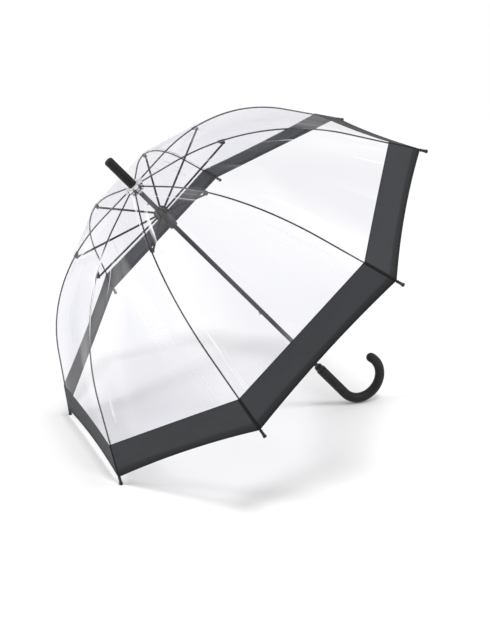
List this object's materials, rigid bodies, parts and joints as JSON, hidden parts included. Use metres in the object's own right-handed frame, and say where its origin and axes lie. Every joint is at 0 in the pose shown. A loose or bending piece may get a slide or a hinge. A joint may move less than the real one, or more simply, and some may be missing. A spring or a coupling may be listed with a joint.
{
  "type": "dome umbrella",
  "caption": "Dome umbrella with a clear film canopy, a dark fabric border, a sliding runner, folding ribs and a crook handle",
  "frame": {"origin": "on the shaft's axis at the middle of the grip's straight length, where a hand holds it", "axes": "+Z along the shaft towards the ferrule, +X the way the crook hooks, +Y square to both; the umbrella is stored open and upright"},
  "size_m": [0.9164, 0.9164, 0.8637],
  "materials": {
    "shaft_metal": "satin",
    "ferrule_plastic": "matte",
    "rosette_plastic": "satin",
    "hub_plastic": "satin",
    "ring_wire": "satin",
    "stop_metal": "satin",
    "handle_grip": "matte",
    "collar_plastic": "satin",
    "runner_plastic": "satin",
    "catch_metal": "satin",
    "rib_rod": "satin",
    "stretcher_metal": "satin",
    "tip_plastic": "gloss",
    "clear_film": "gloss",
    "border_fabric": "matte"
  },
  "bodies": {
    "frame": {"shaft": "shaft_metal", "ferrule": "ferrule_plastic", "rosette": "rosette_plastic", "notch": "hub_plastic", "notch_ring": "ring_wire", "top_stop": "stop_metal", "crook_handle": "handle_grip", "handle_collar": "collar_plastic", "film_panel_1": "clear_film", "film_panel_2": "clear_film", "film_panel_3": "clear_film", "film_panel_4": "clear_film", "film_panel_5": "clear_film", "film_panel_6": "clear_film", "film_panel_7": "clear_film", "film_panel_8": "clear_film", "border_panel_1": "border_fabric", "border_panel_2": "border_fabric", "border_panel_3": "border_fabric", "border_panel_4": "border_fabric", "border_panel_5": "border_fabric", "border_panel_6": "border_fabric", "border_panel_7": "border_fabric", "border_panel_8": "border_fabric"},
    "runner": {"runner": "runner_plastic"},
    "top_catch": {"top_catch": "catch_metal"},
    "bottom_catch": {"bottom_catch": "catch_metal"},
    "upper_1": {"upper_rib_1": "rib_rod"},
    "lower_1": {"lower_rib_1": "rib_rod", "rib_tip_1": "tip_plastic"},
    "strut_1": {"stretcher_1": "stretcher_metal"},
    "upper_2": {"upper_rib_2": "rib_rod"},
    "lower_2": {"lower_rib_2": "rib_rod", "rib_tip_2": "tip_plastic"},
    "strut_2": {"stretcher_2": "stretcher_metal"},
    "upper_3": {"upper_rib_3": "rib_rod"},
    "lower_3": {"lower_rib_3": "rib_rod", "rib_tip_3": "tip_plastic"},
    "strut_3": {"stretcher_3": "stretcher_metal"},
    "upper_4": {"upper_rib_4": "rib_rod"},
    "lower_4": {"lower_rib_4": "rib_rod", "rib_tip_4": "tip_plastic"},
    "strut_4": {"stretcher_4": "stretcher_metal"},
    "upper_5": {"upper_rib_5": "rib_rod"},
    "lower_5": {"lower_rib_5": "rib_rod", "rib_tip_5": "tip_plastic"},
    "strut_5": {"stretcher_5": "stretcher_metal"},
    "upper_6": {"upper_rib_6": "rib_rod"},
    "lower_6": {"lower_rib_6": "rib_rod", "rib_tip_6": "tip_plastic"},
    "strut_6": {"stretcher_6": "stretcher_metal"},
    "upper_7": {"upper_rib_7": "rib_rod"},
    "lower_7": {"lower_rib_7": "rib_rod", "rib_tip_7": "tip_plastic"},
    "strut_7": {"stretcher_7": "stretcher_metal"},
    "upper_8": {"upper_rib_8": "rib_rod"},
    "lower_8": {"lower_rib_8": "rib_rod", "rib_tip_8": "tip_plastic"},
    "strut_8": {"stretcher_8": "stretcher_metal"}
  },
  "joints": [
    {"name": "runner_slide", "type": "slide", "parent": "frame", "child": "runner", "axis": [0, 0, -1], "range_m": [0, 0.30552], "deforming": ["film_panel_1", "film_panel_2", "film_panel_3", "film_panel_4", "film_panel_5", "film_panel_6", "film_panel_7", "film_panel_8", "border_panel_1", "border_panel_2", "border_panel_3", "border_panel_4", "border_panel_5", "border_panel_6", "border_panel_7", "border_panel_8", "top_catch", "bottom_catch"]},
    {"name": "upper_1_hinge", "type": "hinge", "parent": "frame", "child": "upper_1", "pos_m": [0.01109, -0.00459, 0.6617], "axis": [0.3827, 0.9239, 0], "range_deg": [0, 77.23]},
    {"name": "lower_1_hinge", "type": "hinge", "parent": "upper_1", "child": "lower_1", "pos_m": [0.18478, -0.07654, 0.6297], "axis": [-0.3827, -0.9239, 0], "range_deg": [0, 32.82]},
    {"name": "strut_1_hinge", "type": "hinge", "parent": "upper_1", "child": "strut_1", "pos_m": [0.18296, -0.07579, 0.62489], "axis": [-0.3827, -0.9239, 0], "range_deg": [0, 154.44]},
    {"name": "upper_2_hinge", "type": "hinge", "parent": "frame", "child": "upper_2", "pos_m": [0.00459, -0.01109, 0.6617], "axis": [0.9239, 0.3827, 0], "range_deg": [0, 77.23]},
    {"name": "lower_2_hinge", "type": "hinge", "parent": "upper_2", "child": "lower_2", "pos_m": [0.07654, -0.18478, 0.6297], "axis": [-0.9239, -0.3827, 0], "range_deg": [0, 32.82]},
    {"name": "strut_2_hinge", "type": "hinge", "parent": "upper_2", "child": "strut_2", "pos_m": [0.07579, -0.18296, 0.62489], "axis": [-0.9239, -0.3827, 0], "range_deg": [0, 154.44]},
    {"name": "upper_3_hinge", "type": "hinge", "parent": "frame", "child": "upper_3", "pos_m": [-0.00459, -0.01109, 0.6617], "axis": [0.9239, -0.3827, 0], "range_deg": [0, 77.23]},
    {"name": "lower_3_hinge", "type": "hinge", "parent": "upper_3", "child": "lower_3", "pos_m": [-0.07654, -0.18478, 0.6297], "axis": [-0.9239, 0.3827, 0], "range_deg": [0, 32.82]},
    {"name": "strut_3_hinge", "type": "hinge", "parent": "upper_3", "child": "strut_3", "pos_m": [-0.07579, -0.18296, 0.62489], "axis": [-0.9239, 0.3827, 0], "range_deg": [0, 154.44]},
    {"name": "upper_4_hinge", "type": "hinge", "parent": "frame", "child": "upper_4", "pos_m": [-0.01109, -0.00459, 0.6617], "axis": [0.3827, -0.9239, 0], "range_deg": [0, 77.23]},
    {"name": "lower_4_hinge", "type": "hinge", "parent": "upper_4", "child": "lower_4", "pos_m": [-0.18478, -0.07654, 0.6297], "axis": [-0.3827, 0.9239, 0], "range_deg": [0, 32.82]},
    {"name": "strut_4_hinge", "type": "hinge", "parent": "upper_4", "child": "strut_4", "pos_m": [-0.18296, -0.07579, 0.62489], "axis": [-0.3827, 0.9239, 0], "range_deg": [0, 154.44]},
    {"name": "upper_5_hinge", "type": "hinge", "parent": "frame", "child": "upper_5", "pos_m": [-0.01109, 0.00459, 0.6617], "axis": [-0.3827, -0.9239, 0], "range_deg": [0, 77.23]},
    {"name": "lower_5_hinge", "type": "hinge", "parent": "upper_5", "child": "lower_5", "pos_m": [-0.18478, 0.07654, 0.6297], "axis": [0.3827, 0.9239, 0], "range_deg": [0, 32.82]},
    {"name": "strut_5_hinge", "type": "hinge", "parent": "upper_5", "child": "strut_5", "pos_m": [-0.18296, 0.07579, 0.62489], "axis": [0.3827, 0.9239, 0], "range_deg": [0, 154.44]},
    {"name": "upper_6_hinge", "type": "hinge", "parent": "frame", "child": "upper_6", "pos_m": [-0.00459, 0.01109, 0.6617], "axis": [-0.9239, -0.3827, 0], "range_deg": [0, 77.23]},
    {"name": "lower_6_hinge", "type": "hinge", "parent": "upper_6", "child": "lower_6", "pos_m": [-0.07654, 0.18478, 0.6297], "axis": [0.9239, 0.3827, 0], "range_deg": [0, 32.82]},
    {"name": "strut_6_hinge", "type": "hinge", "parent": "upper_6", "child": "strut_6", "pos_m": [-0.07579, 0.18296, 0.62489], "axis": [0.9239, 0.3827, 0], "range_deg": [0, 154.44]},
    {"name": "upper_7_hinge", "type": "hinge", "parent": "frame", "child": "upper_7", "pos_m": [0.00459, 0.01109, 0.6617], "axis": [-0.9239, 0.3827, 0], "range_deg": [0, 77.23]},
    {"name": "lower_7_hinge", "type": "hinge", "parent": "upper_7", "child": "lower_7", "pos_m": [0.07654, 0.18478, 0.6297], "axis": [0.9239, -0.3827, 0], "range_deg": [0, 32.82]},
    {"name": "strut_7_hinge", "type": "hinge", "parent": "upper_7", "child": "strut_7", "pos_m": [0.07579, 0.18296, 0.62489], "axis": [0.9239, -0.3827, 0], "range_deg": [0, 154.44]},
    {"name": "upper_8_hinge", "type": "hinge", "parent": "frame", "child": "upper_8", "pos_m": [0.01109, 0.00459, 0.6617], "axis": [-0.3827, 0.9239, 0], "range_deg": [0, 77.23]},
    {"name": "lower_8_hinge", "type": "hinge", "parent": "upper_8", "child": "lower_8", "pos_m": [0.18478, 0.07654, 0.6297], "axis": [0.3827, -0.9239, 0], "range_deg": [0, 32.82]},
    {"name": "strut_8_hinge", "type": "hinge", "parent": "upper_8", "child": "strut_8", "pos_m": [0.18296, 0.07579, 0.62489], "axis": [0.3827, -0.9239, 0], "range_deg": [0, 154.44]},
    {"name": "top_catch_press", "type": "hinge", "parent": "frame", "child": "top_catch", "pos_m": [-0.0026, 0, 0.53858], "axis": [0, 1, 0], "range_deg": [0, 7], "stiffness_Nm_per_rad": 0.5},
    {"name": "bottom_catch_press", "type": "hinge", "parent": "frame", "child": "bottom_catch", "pos_m": [-0.0026, 0, 0.28106], "axis": [0, -1, 0], "range_deg": [0, 7], "stiffness_Nm_per_rad": 0.5}
  ],
  "couplings": [
    {"joint": "upper_1_hinge", "follows": "runner_slide", "rad_per_m": 4.4106},
    {"joint": "lower_1_hinge", "follows": "runner_slide", "rad_per_m": 1.8736},
    {"joint": "strut_1_hinge", "follows": "runner_slide", "rad_per_m": 8.8213},
    {"joint": "upper_2_hinge", "follows": "runner_slide", "rad_per_m": 4.4106},
    {"joint": "lower_2_hinge", "follows": "runner_slide", "rad_per_m": 1.8736},
    {"joint": "strut_2_hinge", "follows": "runner_slide", "rad_per_m": 8.8213},
    {"joint": "upper_3_hinge", "follows": "runner_slide", "rad_per_m": 4.4106},
    {"joint": "lower_3_hinge", "follows": "runner_slide", "rad_per_m": 1.8736},
    {"joint": "strut_3_hinge", "follows": "runner_slide", "rad_per_m": 8.8213},
    {"joint": "upper_4_hinge", "follows": "runner_slide", "rad_per_m": 4.4106},
    {"joint": "lower_4_hinge", "follows": "runner_slide", "rad_per_m": 1.8736},
    {"joint": "strut_4_hinge", "follows": "runner_slide", "rad_per_m": 8.8213},
    {"joint": "upper_5_hinge", "follows": "runner_slide", "rad_per_m": 4.4106},
    {"joint": "lower_5_hinge", "follows": "runner_slide", "rad_per_m": 1.8736},
    {"joint": "strut_5_hinge", "follows": "runner_slide", "rad_per_m": 8.8213},
    {"joint": "upper_6_hinge", "follows": "runner_slide", "rad_per_m": 4.4106},
    {"joint": "lower_6_hinge", "follows": "runner_slide", "rad_per_m": 1.8736},
    {"joint": "strut_6_hinge", "follows": "runner_slide", "rad_per_m": 8.8213},
    {"joint": "upper_7_hinge", "follows": "runner_slide", "rad_per_m": 4.4106},
    {"joint": "lower_7_hinge", "follows": "runner_slide", "rad_per_m": 1.8736},
    {"joint": "strut_7_hinge", "follows": "runner_slide", "rad_per_m": 8.8213},
    {"joint": "upper_8_hinge", "follows": "runner_slide", "rad_per_m": 4.4106},
    {"joint": "lower_8_hinge", "follows": "runner_slide", "rad_per_m": 1.8736},
    {"joint": "strut_8_hinge", "follows": "runner_slide", "rad_per_m": 8.8213}
  ]
}
